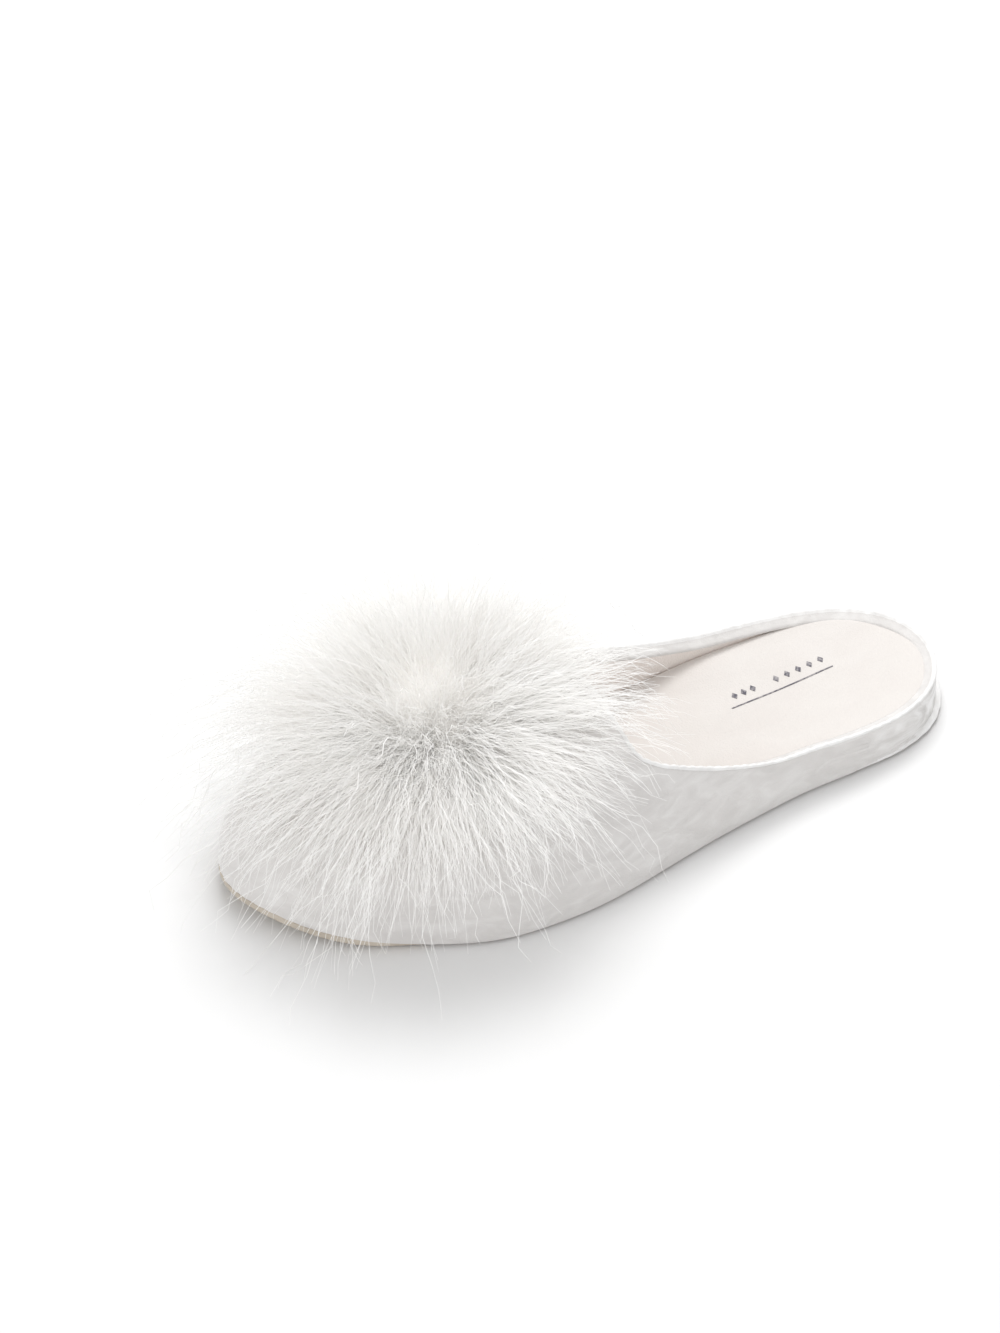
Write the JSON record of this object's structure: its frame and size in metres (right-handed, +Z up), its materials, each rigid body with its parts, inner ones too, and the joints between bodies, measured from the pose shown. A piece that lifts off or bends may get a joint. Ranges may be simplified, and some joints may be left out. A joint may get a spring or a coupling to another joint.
{
  "type": "house slipper",
  "caption": "Left closed-toe mule slipper with low velvet walls, a padded footbed, a thin sole and a large feather puff on the vamp.",
  "frame": {"origin": "on the floor plane under the middle of the sole's length", "axes": "+Z up, -Y towards the toe, +X towards the wearer's outer side of the left foot"},
  "size_m": [0.1777, 0.2702, 0.0824],
  "materials": {
    "outsole": "matte beige tread sheet",
    "insole": "cream brushed velour over foam",
    "velvet": "pale silver-white crushed velvet",
    "binding": "white velvet binding",
    "feathers": "white down and fine feather strands"
  },
  "bodies": {
    "root": {"outsole": "outsole", "insole": "insole", "upper": "velvet", "topline_binding": "binding", "feather_pompom": "feathers"}
  },
  "joints": []
}
